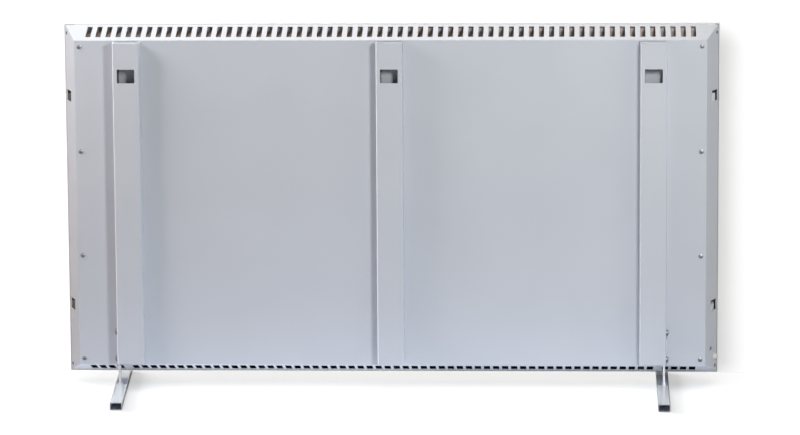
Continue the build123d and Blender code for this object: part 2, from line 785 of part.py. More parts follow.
for foot_name, foot_side, tube_turn in (
    ("left", -1, left_tube_turn),
    ("right", 1, right_tube_turn),
):
    # local y of a fixing plane runs downward or upward with the side of the foot
    up = 1 if fixing_plane(foot_side, 0).y_dir.Z > 0 else -1
    screw_spots = [(0, up * lower_screw_z), (0, up * upper_screw_z)]

    with BuildPart() as foot_tube:
        tube_ground = foot_plane(foot_side, tube_turn)
        tube_end = Plane(
            tube_ground.origin - tube_ground.y_dir * foot_tube_length / 2,
            x_dir=tube_ground.x_dir,
            z_dir=tube_ground.y_dir,
        )
        tube_up = 1 if tube_end.y_dir.Z > 0 else -1
        with BuildSketch(tube_end):
            with Locations((-upright_outset, tube_up * foot_tube_height / 2)):
                RectangleRounded(foot_tube_width, foot_tube_height, foot_tube_corner)
                RectangleRounded(
                    foot_tube_width - 2 * foot_tube_wall,
                    foot_tube_height - 2 * foot_tube_wall,
                    foot_tube_corner - foot_tube_wall,
                    mode=Mode.SUBTRACT,
                )
        extrude(amount=foot_tube_length)
    save(foot_tube.part, f"{foot_name}_foot_tube")

    with BuildPart() as foot_upright:
        with BuildSketch(foot_plane(foot_side).offset(foot_tube_height)):
            Rectangle(upright_thickness, upright_depth)
        extrude(amount=upright_top_z - foot_tube_height)
        top_face = foot_upright.faces().sort_by(Axis.Z)[-1]
        fillet(top_face.edges().sort_by(SortBy.LENGTH)[:2], upright_corner)
        with BuildSketch(fixing_plane(foot_side, 0)):
            with Locations(screw_spots):
                Circle(foot_screw_shank / 2)
        extrude(amount=upright_thickness, both=True, mode=Mode.SUBTRACT)
    save(foot_upright.part, f"{foot_name}_foot_upright")

    foot_screw = pan_screw(
        foot_screw_shank,
        foot_screw_head,
        foot_screw_head_height,
        seat_x + bar_x + foot_nut_height + foot_screw_past_nut,
    )
    with BuildPart() as foot_screws:
        with Locations(
            [fixing_plane(foot_side, seat_x).location * Location((x, y, 0)) for x, y in screw_spots]
        ):
            add(foot_screw)
    save(foot_screws.part, f"{foot_name}_foot_screws")

    with BuildPart() as foot_nuts:
        with BuildSketch(fixing_plane(foot_side, -bar_x)):
            with Locations(screw_spots):
                RegularPolygon(foot_nut_flats / 2, 6, major_radius=False)
                Circle(foot_screw_shank / 2, mode=Mode.SUBTRACT)
        extrude(amount=-foot_nut_height)
    save(foot_nuts.part, f"{foot_name}_foot_nuts")
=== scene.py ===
# %% [markdown]
# # A wide convector heater, seen from behind
#
# The heater is a flat box of folded, powder-coated steel behind a stoneware plate. This lesson
# dresses its finished frame: every sheet, screw and strip already has its shape and place, in
# metres, with the floor at z = 0, the plate towards -Y and the ribbed back towards +Y. What is
# left is what makes it look real: the finishes, the weld beads, the light and the camera.
#
# Left and right in the names of pieces are as seen from the plate's side. The camera stands
# behind the heater, so in the picture the left foot is on the right.

import json
import math

import bmesh
import bpy
from mathutils import Matrix, Vector

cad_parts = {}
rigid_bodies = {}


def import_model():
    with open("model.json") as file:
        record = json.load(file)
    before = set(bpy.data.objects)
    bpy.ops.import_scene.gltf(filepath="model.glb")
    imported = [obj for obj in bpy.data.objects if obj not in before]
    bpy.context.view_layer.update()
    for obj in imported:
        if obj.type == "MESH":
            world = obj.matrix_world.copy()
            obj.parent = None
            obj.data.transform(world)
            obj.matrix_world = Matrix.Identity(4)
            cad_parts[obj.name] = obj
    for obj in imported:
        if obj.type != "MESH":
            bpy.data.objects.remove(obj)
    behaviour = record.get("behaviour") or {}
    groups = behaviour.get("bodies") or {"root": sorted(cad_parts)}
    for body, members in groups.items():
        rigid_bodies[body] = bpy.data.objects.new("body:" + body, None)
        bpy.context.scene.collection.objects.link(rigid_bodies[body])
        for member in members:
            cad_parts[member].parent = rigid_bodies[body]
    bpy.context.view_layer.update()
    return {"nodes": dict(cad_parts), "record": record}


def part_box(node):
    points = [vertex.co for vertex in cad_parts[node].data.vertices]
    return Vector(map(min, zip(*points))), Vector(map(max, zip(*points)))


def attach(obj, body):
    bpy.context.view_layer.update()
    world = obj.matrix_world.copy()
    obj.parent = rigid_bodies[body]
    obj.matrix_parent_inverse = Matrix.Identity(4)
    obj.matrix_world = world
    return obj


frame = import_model()
nodes = frame["nodes"]
print("pieces in the frame:", len(nodes))

# %% [markdown]
# ## The camera
#
# A camera far away with a long lens keeps upright lines nearly parallel. This one stands seven
# metres behind the heater and looks slightly down, so the top wall and both side walls show.
# The lens and place were worked out from the outline, the folds and the rows of slots together:
# one line alone could be matched by many cameras, but all of them only by one.

# %% Place the camera
camera_data = bpy.data.cameras.new("studio_camera")
camera_data.lens = 177.86
camera_data.sensor_width = 36.0
camera_data.clip_end = 60.0
camera = bpy.data.objects.new("studio_camera", camera_data)
camera.location = (-0.3431, 7.1013, 1.4918)
camera.rotation_euler = [math.radians(turn) for turn in (80.6648, 0.3562, -177.4366)]
bpy.context.scene.collection.objects.link(camera)
bpy.context.scene.camera = camera
print("camera stands", round((Vector(camera.location) - Vector((0, 0, 0.34))).length, 2), "m away")

# %% [markdown]
# ## Helpers for materials
#
# A procedural material is a small network of nodes. The helpers below only save typing: one
# starts a material and returns its tree and its Principled shader, one adds a node with its
# values set, and one joins an output to an input. Every pattern is read from Object
# coordinates, in metres, so a grain of one millimetre is the same size on every piece.


# %% Start a material
def new_material(name, **constants):
    """A material whose Principled sockets hold the given constants."""
    material = bpy.data.materials.new(name)
    material.use_nodes = True
    tree = material.node_tree
    shader = tree.nodes["Principled BSDF"]
    for socket, value in constants.items():
        shader.inputs[socket.replace("_", " ")].default_value = value
    return material, tree, shader


def add_node(tree, kind, values=None, **settings):
    """A node with its settings made and its input sockets filled in."""
    node = tree.nodes.new(kind)
    for name, value in settings.items():
        setattr(node, name, value)
    for socket, value in (values or {}).items():
        node.inputs[socket].default_value = value
    return node


def join(tree, output, *inputs):
    """Links one output to each of the inputs."""
    for target in inputs:
        tree.links.new(output, target)


print("helpers:", new_material.__name__, add_node.__name__, join.__name__)

# %% [markdown]
# ## Helpers that keep a surface from looking even
#
# No real surface has one colour and one gloss. Nearly every finish here lets a slow value shift
# the colour between two close tones, and the roughness with it, and lets a height bump the
# normal. Both are the same few nodes each time, so two helpers lay them.


# %% Shift the tone and roughen the skin
def mottle(tree, shader, value, light, dark, rough, spread):
    """Shifts colour and roughness by a value that keeps within spread of a half."""
    tone = add_node(tree, "ShaderNodeMix", data_type="RGBA")
    tone.inputs["A"].default_value = (*dark, 1.0)
    tone.inputs["B"].default_value = (*light, 1.0)
    limits = {"From Min": 0.5 - spread, "From Max": 0.5 + spread}
    gloss = add_node(
        tree, "ShaderNodeMapRange", {**limits, "To Min": rough[0], "To Max": rough[1]}
    )
    join(tree, value, tone.inputs["Factor"], gloss.inputs["Value"])
    join(tree, tone.outputs["Result"], shader.inputs["Base Color"])
    join(tree, gloss.outputs["Result"], shader.inputs["Roughness"])


def roughen(tree, shader, height, strength, depth):
    """Bumps a shader's normal by a height, which is at most depth metres."""
    bump = add_node(tree, "ShaderNodeBump", {"Strength": strength, "Distance": depth})
    join(tree, height, bump.inputs["Height"])
    join(tree, bump.outputs["Normal"], shader.inputs["Normal"])


print("helpers:", mottle.__name__, roughen.__name__)

# %% [markdown]
# ## A shared effect: the skin of a powder coat
#
# Powder paint is sprayed on dry and melted in an oven. It never levels quite flat, so its
# gloss breaks up in a fine ripple like orange peel, over a much longer, weaker wave where the
# sheet itself isn't flat. Both belong in one node group, because the casing, the ribs and the
# feet all need them in their own strength. The group gives out a height for a Bump node and a
# slow mask that shifts the tone. The helper that starts a group serves two more further on.


# %% Build the coat's node group
def new_group(name, inputs, outputs):
    """An empty shader group: a place, more inputs of a number or a vector, number outputs."""
    group = bpy.data.node_groups.new(name, "ShaderNodeTree")
    group.interface.new_socket("Vector", in_out="INPUT", socket_type="NodeSocketVector")
    for label, value in inputs.items():
        kind = "NodeSocketFloat" if isinstance(value, float) else "NodeSocketVector"
        socket = group.interface.new_socket(label, in_out="INPUT", socket_type=kind)
        socket.default_value = value
    for label in outputs:
        group.interface.new_socket(label, in_out="OUTPUT", socket_type="NodeSocketFloat")
    return group, group.nodes.new("NodeGroupInput"), group.nodes.new("NodeGroupOutput")


coat_numbers = {"Peel per Metre": 900.0, "Wave per Metre": 9.0, "Wave Share": 0.5}
coat_skin, skin_in, skin_out = new_group("coat_skin", coat_numbers, ["Height", "Tone"])
peel = add_node(coat_skin, "ShaderNodeTexNoise", {"Detail": 2.0, "Roughness": 0.4})
wave = add_node(coat_skin, "ShaderNodeTexNoise", {"Detail": 1.0, "Roughness": 0.3})
blend_waves = add_node(coat_skin, "ShaderNodeMix", data_type="FLOAT")
join(coat_skin, skin_in.outputs["Vector"], peel.inputs["Vector"], wave.inputs["Vector"])
join(coat_skin, skin_in.outputs["Peel per Metre"], peel.inputs["Scale"])
join(coat_skin, skin_in.outputs["Wave per Metre"], wave.inputs["Scale"])
join(coat_skin, skin_in.outputs["Wave Share"], blend_waves.inputs["Factor"])
join(coat_skin, peel.outputs["Fac"], blend_waves.inputs["A"])
join(coat_skin, wave.outputs["Fac"], blend_waves.inputs["B"])
join(coat_skin, blend_waves.outputs["Result"], skin_out.inputs["Height"])
join(coat_skin, wave.outputs["Fac"], skin_out.inputs["Tone"])
print("coat_skin sockets:", [item.name for item in coat_skin.interface.items_tree])

# %% [markdown]
# ## The powder coats
#
# The casing and ribs have a cool, pale grey coat with a soft gloss. The feet have a glossier,
# slightly lighter one, in which the floor and the casing mirror. Both are paint over steel, so
# they aren't metallic: the gloss is the paint's own.


# %% Make a powder coat
def powder_coat(name, light, dark, rough, peel_bump, **constants):
    """Paint with a slow shift between two tones, a rippled skin and its own gloss."""
    material, tree, shader = new_material(name, **constants)
    place = add_node(tree, "ShaderNodeTexCoord")
    skin = add_node(tree, "ShaderNodeGroup", node_tree=coat_skin)
    join(tree, place.outputs["Object"], skin.inputs["Vector"])
    mottle(tree, shader, skin.outputs["Tone"], light, dark, rough, 0.2)
    roughen(tree, shader, skin.outputs["Height"], peel_bump, 0.0004)
    return material


casing_paint = powder_coat(
    "casing_paint", (0.575, 0.605, 0.655), (0.545, 0.575, 0.625), (0.38, 0.5), 0.10
)
foot_paint = powder_coat(
    "foot_paint", (0.78, 0.81, 0.86), (0.75, 0.78, 0.83), (0.10, 0.16), 0.05, Coat_Weight=0.3
)
print("made", casing_paint.name, "and", foot_paint.name)

# %% [markdown]
# ## A second shared effect: a slab that masks what lies within it
#
# Powder hardly gets inside a tube, so its faces stay bare. Inside the casing and the ribs, dark
# patches are painted on as shade, and a few as light. Each such face is told from the paint by
# where it lies. A slab is a middle, a direction and half a thickness, and this group puts out one
# within it and zero outside. Where three slabs cross, they close in a box, and two of them close
# in an endless bar.

# %% Build the slab's node group
slab_inputs = {"Middle": (0.0, 0.0, 0.0), "Direction": (0.0, 0.0, 1.0), "Half": 0.01}
slab_mask, slab_in, slab_out = new_group("slab_mask", slab_inputs, ["Mask"])
offset = add_node(slab_mask, "ShaderNodeVectorMath", operation="SUBTRACT")
along = add_node(slab_mask, "ShaderNodeVectorMath", operation="DOT_PRODUCT")
distance = add_node(slab_mask, "ShaderNodeMath", operation="ABSOLUTE")
within = add_node(slab_mask, "ShaderNodeMath", operation="LESS_THAN")
join(slab_mask, slab_in.outputs["Vector"], offset.inputs[0])
join(slab_mask, slab_in.outputs["Middle"], offset.inputs[1])
join(slab_mask, offset.outputs["Vector"], along.inputs[0])
join(slab_mask, slab_in.outputs["Direction"], along.inputs[1])
join(slab_mask, along.outputs["Value"], distance.inputs[0])
join(slab_mask, distance.outputs["Value"], within.inputs[0])
join(slab_mask, slab_in.outputs["Half"], within.inputs[1])
join(slab_mask, within.outputs["Value"], slab_out.inputs["Mask"])
print("slab_mask sockets:", [item.name for item in slab_mask.interface.items_tree])

# %% [markdown]
# ## Patches in a paint
#
# A patch is a middle, the slabs that close in on it, a colour and a roughness. The paint is
# copied for one piece, and each patch in turn covers what came before it. Where the slabs' masks
# are multiplied, only the points inside all of them are left.


# %% Patch a copy of a paint
def patched(paint, name, patches):
    """A copy of a paint that gives way to another finish within each patch in turn."""
    material = paint.copy()
    material.name = name
    tree = material.node_tree
    shader = tree.nodes["Principled BSDF"]
    place = add_node(tree, "ShaderNodeTexCoord")
    for middle, slabs, colour, rough in patches:
        inside = None
        for direction, half in slabs:
            values = {"Middle": middle, "Direction": direction, "Half": half}
            slab = add_node(tree, "ShaderNodeGroup", values, node_tree=slab_mask)
            join(tree, place.outputs["Object"], slab.inputs["Vector"])
            mask = slab.outputs["Mask"]
            if inside is not None:
                both = add_node(tree, "ShaderNodeMath", operation="MULTIPLY")
                join(tree, inside, both.inputs[0])
                join(tree, mask, both.inputs[1])
                mask = both.outputs["Value"]
            inside = mask
        finish = (("Base Color", "RGBA", (*colour, 1.0)), ("Roughness", "FLOAT", rough))
        for socket, kind, bare in finish:
            painted = shader.inputs[socket].links[0].from_socket
            choice = add_node(tree, "ShaderNodeMix", data_type=kind)
            choice.inputs["B"].default_value = bare
            join(tree, inside, choice.inputs["Factor"])
            join(tree, painted, choice.inputs["A"])
            join(tree, choice.outputs["Result"], shader.inputs[socket])
    return material


print("helper:", patched.__name__)

# %% [markdown]
# Most patches are upright boxes. This helper turns two corners of a box into the three slabs
# that close in on it. Bare metal, primer and most patches painted as shade or light are duller
# than paint, and share one roughness.

# %% Patch a box
ACROSS = (1.0, 0.0, 0.0)
DEEP = (0.0, 1.0, 0.0)
UP = (0.0, 0.0, 1.0)


def box_patch(corner, far_corner, colour, rough):
    """A patch over the upright box from a low corner to the high one across from it."""
    middle = (Vector(corner) + Vector(far_corner)) / 2
    half = Vector(far_corner) - middle
    return middle, ((ACROSS, half.x), (DEEP, half.y), (UP, half.z)), colour, rough


DULL_ROUGH = 0.7
PAST_END = 0.002
own_paint = {}
print("bare faces have a roughness of", DULL_ROUGH)

# %% [markdown]
# ## Bare insides of the foot tubes
#
# A tube's inside is pale, bare zinc. Two slabs close in on its bore: one lies flat, the other
# stands upright. Each tube is welded on a little askew, so the upright slab turns with it.

# %% Bare the tubes' insides
bare_zinc = (0.66, 0.70, 0.82)
bore_width = 0.0191
bore_height = 0.0111
turned_in = {"left": math.radians(0.3), "right": math.radians(3.2)}
for side, sign in (("left", -1), ("right", 1)):
    low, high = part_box(f"{side}_foot_tube")
    outward = (sign * math.cos(turned_in[side]), math.sin(turned_in[side]), 0.0)
    bore = ((outward, bore_width / 2), (UP, bore_height / 2))
    own_paint[f"{side}_foot_tube"] = patched(
        foot_paint, f"{side}_tube_paint", [((low + high) / 2, bore, bare_zinc, DULL_ROUGH)]
    )
print("tube paints:", [paint.name for paint in own_paint.values()])

# %% [markdown]
# ## Bare faces in the casing
# Inside, the casing's sheet is painted near-black as shade, so that only the lit patches on the
# plate's back stand out behind the slots. Its rim, which is turned in behind the plate, wears a
# thin, pinkish primer, and along the bottom it is painted black as the shade behind the bottom
# slots. Through the four windows only the rim's ends show, in the shade of the windows' edges:
# the picture's left end is painted dim as shade, and at its right end a patch painted pale as
# light lies under an edge painted black as shadow. That shade and light are painted on, because
# the lamps stand too far round to throw them.

# %% Prime the casing's rim and paint shade and light on it
primer = ((0.72, 0.62, 0.57), DULL_ROUGH)
# The next three finishes are painted light and shade: a pale patch as light, a dim one as shade,
# and black as shadow.
painted_light_primer = ((0.88, 0.88, 0.90), DULL_ROUGH)
painted_shade_primer = ((0.27, 0.23, 0.21), DULL_ROUGH)
painted_black_shade = ((0.03, 0.03, 0.04), 0.8)
low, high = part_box("rear_casing")
rim_half = 0.002
edge = 0.002
below = low.z - PAST_END
above = high.z + PAST_END


def rim_patch(left, right, bottom, top, colour, rough):
    """A patch on the casing's turned-in rim, between two sides and two heights."""
    corner = (left, low.y - rim_half, bottom)
    far_corner = (right, low.y + rim_half, top)
    return box_patch(corner, far_corner, colour, rough)


# Heights and ends of the patches painted as shade and as light, behind the bottom slots and the
# windows.
bottom_shade_height = 0.038
painted_shade_end = (high.x - 0.0165, high.x - 0.0005)
painted_light_end = (low.x + 0.007, low.x + 0.02)
black_shade_end = (low.x, low.x + 0.007)
casing_patches = [
    rim_patch(low.x + edge, high.x - edge, low.z + edge, high.z - edge, *primer),
    rim_patch(low.x + edge, high.x - edge, low.z + edge, low.z + bottom_shade_height, *painted_black_shade),
    rim_patch(*painted_shade_end, below, above, *painted_shade_primer),
    rim_patch(*painted_light_end, below, above, *painted_light_primer),
    rim_patch(*black_shade_end, below, above, *painted_black_shade),
]
# Black bands painted as shadow under the windows' top edges.
shade_height = 0.007
window_tops = (0.5495, 0.162)
ends = (low.x - PAST_END, high.x + PAST_END)
for top in window_tops:
    casing_patches.append(rim_patch(*ends, top - shade_height, top, *painted_black_shade))
print("patches on the rim:", len(casing_patches))

# %% [markdown]
# The next cell paints the hollow between the casing's walls near-black as shade, and then the
# underside of the sloping top wall. That one needs a slab that slopes with the wall, just inside
# its sheet.

# %% Paint shade on the casing's inner faces
# Near-black, painted as shade inside the casing.
painted_shade_steel = ((0.07, 0.07, 0.075), DULL_ROUGH)
sheet = 0.0012
end_wall_run = 0.0225
side_wall_run = 0.0235
wall_margin = 0.002
inner_x = high.x - side_wall_run - wall_margin
inner_z = end_wall_run + wall_margin
hollow_low = Vector((-inner_x, low.y + 0.0004, low.z + inner_z))
hollow_high = Vector((inner_x, high.y - 0.001, high.z - inner_z))
hollow = box_patch(hollow_low, hollow_high, *painted_shade_steel)

casing_depth = high.y - low.y
top_out = Vector((0.0, end_wall_run, casing_depth)).normalized()
top_wall = Vector((0.0, high.y - casing_depth / 2, high.z - end_wall_run / 2))
under_top = top_wall - sheet * top_out
skin_half = 0.0005
hollow_depth = hollow_high.y - hollow_low.y
under_slabs = ((top_out, skin_half), (DEEP, hollow_depth / 2), (ACROSS, inner_x))
casing_patches += [hollow, (under_top, under_slabs, *painted_shade_steel)]
own_paint["rear_casing"] = patched(casing_paint, "casing_paint_patched", casing_patches)
print("patches in the casing's paint:", len(casing_patches))

# %% [markdown]
# ## Painted highlight and shade on the ribs
#
# A rib is a channel. Along one of its folds, on the picture's left, a bright line is painted on
# as a highlight, glossier than the paint round it and stronger on some ribs than on others. The
# channel's inside is painted dark as shade, and shows only in the opening that the heater hangs
# by. The painted shade stops short of its open ends, which keep the plain paint.

# %% Patch the ribs' paint
rib_splay = 0.0016
under_face = 0.0008
under_side = 0.0002
rib_end = 0.012
# A bright, glossier strip along one fold, painted as a highlight.
highlight_reach = 0.0009
highlight_depth = 0.0014
highlight_rough = 0.3
# Dark, painted as shade inside the channel.
rib_painted_shade = ((0.14, 0.145, 0.16), DULL_ROUGH)
for side, highlight_level in (("left", 0.70), ("middle", 0.92), ("right", 0.86)):
    low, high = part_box(f"{side}_rib")
    fold_x = high.x - rib_splay
    highlight_low = (fold_x - highlight_reach, high.y - highlight_depth, low.z - PAST_END)
    highlight_high = (fold_x + highlight_reach, high.y + highlight_depth, high.z + PAST_END)
    painted_highlight = (highlight_level, highlight_level * 1.03, highlight_level * 1.09)
    inset = rib_splay + under_side
    inside_low = (low.x + inset, low.y - PAST_END, low.z + rib_end)
    inside_high = (high.x - inset, high.y - under_face, high.z - rib_end)
    rib_patches = [
        box_patch(highlight_low, highlight_high, painted_highlight, highlight_rough),
        box_patch(inside_low, inside_high, *rib_painted_shade),
    ]
    own_paint[f"{side}_rib"] = patched(casing_paint, f"{side}_rib_paint", rib_patches)
print("pieces with a paint of their own:", list(own_paint))

# %% [markdown]
# ## A third shared effect: fine grain
#
# Metals, plastics, rubber and clay all have a grain, fine in one and coarse in the next. This
# group reads it from noise. Its inputs are how many grains lie in a metre, how much finer detail
# they hold, and how far the grain is squeezed along each axis.

# %% Build the grain's node group
grain_inputs = {"Squeeze": (1.0, 1.0, 1.0), "Grains per Metre": 900.0, "Detail": 3.0}
fine_grain, grain_in, grain_out = new_group("fine_grain", grain_inputs, ["Grain"])
squeezed = add_node(fine_grain, "ShaderNodeMapping")
grain_noise = add_node(fine_grain, "ShaderNodeTexNoise")
join(fine_grain, grain_in.outputs["Vector"], squeezed.inputs["Vector"])
join(fine_grain, grain_in.outputs["Squeeze"], squeezed.inputs["Scale"])
join(fine_grain, squeezed.outputs["Vector"], grain_noise.inputs["Vector"])
join(fine_grain, grain_in.outputs["Grains per Metre"], grain_noise.inputs["Scale"])
join(fine_grain, grain_in.outputs["Detail"], grain_noise.inputs["Detail"])
join(fine_grain, grain_noise.outputs["Fac"], grain_out.inputs["Grain"])


def add_grain(tree, per_metre, detail, squeeze=(1.0, 1.0, 1.0)):
    """The grain at each point of a piece, from zero to one."""
    values = {"Squeeze": squeeze, "Grains per Metre": per_metre, "Detail": detail}
    place = add_node(tree, "ShaderNodeTexCoord")
    grain = add_node(tree, "ShaderNodeGroup", values, node_tree=fine_grain)
    join(tree, place.outputs["Object"], grain.inputs["Vector"])
    return grain.outputs["Grain"]


print("fine_grain sockets:", [item.name for item in fine_grain.interface.items_tree])

# %% [markdown]
# ## Metals
#
# The screws are zinc plated: slightly blue, gone a little dark, with a fine grain. The rivets
# at the casing's corners are dull, darker steel, the terminal screws and the earth stud are
# plain brass, and the foil over the element is drawn out one way. One recipe makes all four,
# because each is a metal whose tone and gloss follow a grain.


# %% Zinc plate, dull steel, brass and foil
def metal(name, light, dark, rough, per_metre, squeeze=(1.0, 1.0, 1.0)):
    """A metal whose tone and gloss follow a grain, which may be squeezed one way."""
    material, tree, shader = new_material(name, Metallic=1.0)
    grain = add_grain(tree, per_metre, 3.0, squeeze)
    mottle(tree, shader, grain, light, dark, rough, 0.25)
    roughen(tree, shader, grain, 0.2, 0.0001)
    return material


zinc_plate = metal("zinc_plate", (0.36, 0.37, 0.40), (0.17, 0.175, 0.19), (0.3, 0.45), 1400.0)
dull_steel = metal("dull_steel", (0.17, 0.17, 0.18), (0.09, 0.09, 0.10), (0.35, 0.5), 1100.0)
plain_brass = metal("plain_brass", (0.78, 0.60, 0.30), (0.62, 0.45, 0.20), (0.2, 0.35), 900.0)
drawn_foil = metal(
    "drawn_foil", (0.88, 0.88, 0.89), (0.70, 0.70, 0.71), (0.2, 0.45), 60.0, (1.0, 1.0, 6.0)
)
print("metals:", zinc_plate.name, dull_steel.name, plain_brass.name, drawn_foil.name)

# %% [markdown]
# ## Galvanised sheet
#
# The rails inside are dipped in molten zinc, which freezes into flat crystals. Each crystal
# reflects a little differently, so a Voronoi pattern gives every cell its own tone and gloss.

# %% Zinc crystals on the rails
galvanised, zinc_tree, zinc_shader = new_material("galvanised", Metallic=1.0)
zinc_place = add_node(zinc_tree, "ShaderNodeTexCoord")
crystals = add_node(zinc_tree, "ShaderNodeTexVoronoi", {"Scale": 120.0})
crystal_tone = add_node(zinc_tree, "ShaderNodeMapRange", {"To Min": 0.42, "To Max": 0.62})
crystal_gloss = add_node(zinc_tree, "ShaderNodeMapRange", {"To Min": 0.3, "To Max": 0.5})
crystal_value = add_node(zinc_tree, "ShaderNodeSeparateColor")
join(zinc_tree, zinc_place.outputs["Object"], crystals.inputs["Vector"])
join(zinc_tree, crystals.outputs["Color"], crystal_value.inputs["Color"])
join(zinc_tree, crystal_value.outputs["Red"], crystal_tone.inputs["Value"])
join(zinc_tree, crystal_value.outputs["Green"], crystal_gloss.inputs["Value"])
join(zinc_tree, crystal_tone.outputs["Result"], zinc_shader.inputs["Base Color"])
join(zinc_tree, crystal_gloss.outputs["Result"], zinc_shader.inputs["Roughness"])
print("zinc crystals are about", round(1000 / crystals.inputs["Scale"].default_value), "mm wide")

# %% [markdown]
# ## The stoneware plate
#
# The plate is fired clay with a satin glaze on its face and edges. Its back stays raw, a warm
# pinkish buff, and shows through the air slots. One material does both: the depth in front of
# the back tells glaze from raw clay. The first cell makes the raw clay, and the grain that
# roughens the whole plate.

# %% Raw clay behind
plate_low, plate_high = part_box("front_plate")
stoneware, clay_tree, clay_shader = new_material("stoneware")
clay_place = add_node(clay_tree, "ShaderNodeTexCoord")
clay_axes = add_node(clay_tree, "ShaderNodeSeparateXYZ")
join(clay_tree, clay_place.outputs["Object"], clay_axes.inputs["Vector"])

clay_grain = add_grain(clay_tree, 420.0, 5.0)
raw_clay = add_node(clay_tree, "ShaderNodeMix", data_type="RGBA")
raw_clay.inputs["A"].default_value = (0.62, 0.50, 0.44, 1.0)
raw_clay.inputs["B"].default_value = (0.80, 0.68, 0.61, 1.0)
join(clay_tree, clay_grain, raw_clay.inputs["Factor"])
print("plate is", round((plate_high.y - plate_low.y) * 1000, 1), "mm thick")

# %% [markdown]
# The glaze is a pale cream that drifts slowly between two tones. Iron in the clay burns through
# it in fine dark specks, so a Voronoi pattern keeps only the points near its cells' middles.

# %% Glaze with iron specks
glaze = add_node(clay_tree, "ShaderNodeMix", data_type="RGBA")
glaze.inputs["A"].default_value = (0.70, 0.68, 0.63, 1.0)
glaze.inputs["B"].default_value = (0.76, 0.745, 0.70, 1.0)
join(clay_tree, add_grain(clay_tree, 11.0, 3.0), glaze.inputs["Factor"])

specks = add_node(clay_tree, "ShaderNodeTexVoronoi", {"Scale": 95.0, "Randomness": 1.0})
speck_mask = add_node(
    clay_tree,
    "ShaderNodeMapRange",
    {"From Min": 0.05, "From Max": 0.10, "To Min": 1.0, "To Max": 0.0},
)
speckled = add_node(clay_tree, "ShaderNodeMix", data_type="RGBA")
speckled.inputs["B"].default_value = (0.30, 0.24, 0.19, 1.0)
join(clay_tree, clay_place.outputs["Object"], specks.inputs["Vector"])
join(clay_tree, specks.outputs["Distance"], speck_mask.inputs["Value"])
join(clay_tree, glaze.outputs["Result"], speckled.inputs["A"])
join(clay_tree, speck_mask.outputs["Result"], speckled.inputs["Factor"])
print("one speck in about every", round(1000 / specks.inputs["Scale"].default_value), "mm")

# %% [markdown]
# Along the plate's outline the glaze is left a little lighter. The distance from the plate's
# middle, along X and along Z, is measured against half its size, and the larger of the two
# masks is the frame round the plate.

# %% A lighter frame round the plate
frame_outer = 0.002
frame_inner = 0.004
rims = []
for axis in ("X", "Z"):
    low_end = getattr(plate_low, axis.lower())
    high_end = getattr(plate_high, axis.lower())
    half = (high_end - low_end) / 2
    centred = add_node(
        clay_tree, "ShaderNodeMath", {1: (low_end + high_end) / 2}, operation="SUBTRACT"
    )
    distance = add_node(clay_tree, "ShaderNodeMath", operation="ABSOLUTE")
    rim_mask = add_node(
        clay_tree,
        "ShaderNodeMapRange",
        {"From Min": half - frame_inner, "From Max": half - frame_outer},
    )
    join(clay_tree, clay_axes.outputs[axis], centred.inputs[0])
    join(clay_tree, centred.outputs["Value"], distance.inputs[0])
    join(clay_tree, distance.outputs["Value"], rim_mask.inputs["Value"])
    rims.append(rim_mask)
plate_frame = add_node(clay_tree, "ShaderNodeMath", operation="MAXIMUM")
join(clay_tree, rims[0].outputs["Result"], plate_frame.inputs[0])
join(clay_tree, rims[1].outputs["Result"], plate_frame.inputs[1])
print("frame round the plate:", round(frame_inner * 1000), "mm wide")

# %% [markdown]
# The last cell lays the coats over each other: raw clay, then glaze in front of the line where
# it starts, then the light frame. The same line turns the chalky clay into a satin gloss.

# %% Lay glaze over clay
glaze_starts = 0.0012
glaze_is_full = 0.0022
glaze_line = add_node(
    clay_tree,
    "ShaderNodeMapRange",
    {"From Min": plate_high.y - glaze_starts, "From Max": plate_high.y - glaze_is_full},
)
clay_colour = add_node(clay_tree, "ShaderNodeMix", data_type="RGBA")
framed = add_node(clay_tree, "ShaderNodeMix", data_type="RGBA")
framed.inputs["B"].default_value = (0.86, 0.85, 0.84, 1.0)
clay_gloss = add_node(clay_tree, "ShaderNodeMapRange", {"To Min": 0.9, "To Max": 0.28})
join(clay_tree, clay_axes.outputs["Y"], glaze_line.inputs["Value"])
join(clay_tree, glaze_line.outputs["Result"], clay_colour.inputs["Factor"])
join(clay_tree, raw_clay.outputs["Result"], clay_colour.inputs["A"])
join(clay_tree, speckled.outputs["Result"], clay_colour.inputs["B"])
join(clay_tree, plate_frame.outputs["Value"], framed.inputs["Factor"])
join(clay_tree, clay_colour.outputs["Result"], framed.inputs["A"])
join(clay_tree, framed.outputs["Result"], clay_shader.inputs["Base Color"])
join(clay_tree, glaze_line.outputs["Result"], clay_gloss.inputs["Value"])
join(clay_tree, clay_gloss.outputs["Result"], clay_shader.inputs["Roughness"])
roughen(clay_tree, clay_shader, clay_grain, 0.25, 0.0004)
print("glaze covers the clay from", round(glaze_is_full * 1000, 1), "mm in front of its back")

# %% [markdown]
# ## Rubbers and plastics
#
# The rest is soft or moulded: the foam strip round the rim, red silicone that bonds the rails
# to the clay, sheaths and sleeves on the wires, a cream terminal block and a white bush and
# clamp. One recipe serves all of them, with its own colours, gloss and grain.


# %% Soft and moulded finishes
def moulded(name, light, dark, rough, per_metre, bump_depth):
    """A plain body colour, mottled by a fine grain that also roughens it."""
    material, tree, shader = new_material(name)
    grain = add_grain(tree, per_metre, 4.0)
    mottle(tree, shader, grain, light, dark, rough, 0.2)
    roughen(tree, shader, grain, 0.3, bump_depth)
    return material


